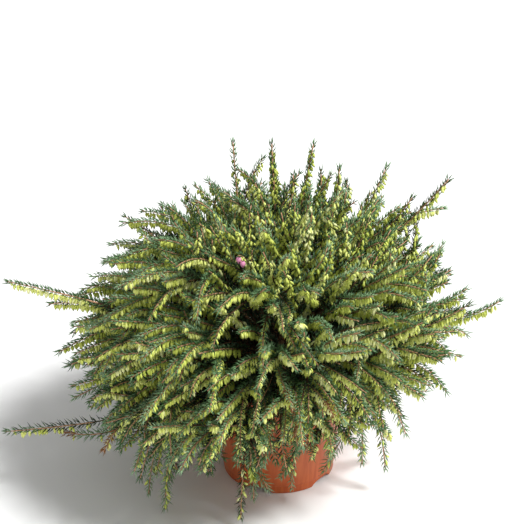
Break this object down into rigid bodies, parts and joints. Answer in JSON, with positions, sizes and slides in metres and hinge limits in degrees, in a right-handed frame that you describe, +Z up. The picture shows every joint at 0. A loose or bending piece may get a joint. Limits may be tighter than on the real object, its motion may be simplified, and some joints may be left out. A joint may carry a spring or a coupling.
{
  "type": "potted darley dale heath",
  "caption": "Low winter heath in bud: long needled shoots with hanging buds on a short woody stock, in a round clay-coloured nursery pot that stands on its flat underside.",
  "frame": {"origin": "centre of the pot's flat underside, on the surface that the pot stands on", "axes": "+Z up along the pot's axis, the side that the picture shows faces -Y, +X to its right"},
  "size_m": [0.459, 0.3781, 0.3159],
  "materials": {
    "pot": "moulded, fine vertical streaks",
    "soil": "moist peat",
    "bark": "dry bark",
    "foliage": "waxy needles and buds"
  },
  "bodies": {
    "root": {"pot": "pot", "root_ball": "soil", "stock": "bark", "bough_top": "bark", "bough_upper_1": "bark", "bough_upper_2": "bark", "bough_upper_3": "bark", "bough_upper_4": "bark", "bough_upper_5": "bark", "bough_upper_6": "bark", "bough_middle_1": "bark", "bough_middle_2": "bark", "bough_middle_3": "bark", "bough_middle_4": "bark", "bough_middle_5": "bark", "bough_middle_6": "bark", "bough_middle_7": "bark", "bough_middle_8": "bark", "bough_skirt_1": "bark", "bough_skirt_2": "bark", "bough_skirt_3": "bark", "bough_skirt_4": "bark", "bough_skirt_5": "bark", "bough_skirt_6": "bark", "bough_skirt_7": "bark", "bough_skirt_8": "bark", "foliage_top": "foliage", "foliage_upper_1": "foliage", "foliage_upper_2": "foliage", "foliage_upper_3": "foliage", "foliage_upper_4": "foliage", "foliage_upper_5": "foliage", "foliage_upper_6": "foliage", "foliage_middle_1": "foliage", "foliage_middle_2": "foliage", "foliage_middle_3": "foliage", "foliage_middle_4": "foliage", "foliage_middle_5": "foliage", "foliage_middle_6": "foliage", "foliage_middle_7": "foliage", "foliage_middle_8": "foliage", "foliage_skirt_1": "foliage", "foliage_skirt_2": "foliage", "foliage_skirt_3": "foliage", "foliage_skirt_4": "foliage", "foliage_skirt_5": "foliage", "foliage_skirt_6": "foliage", "foliage_skirt_7": "foliage", "foliage_skirt_8": "foliage"}
  },
  "joints": []
}
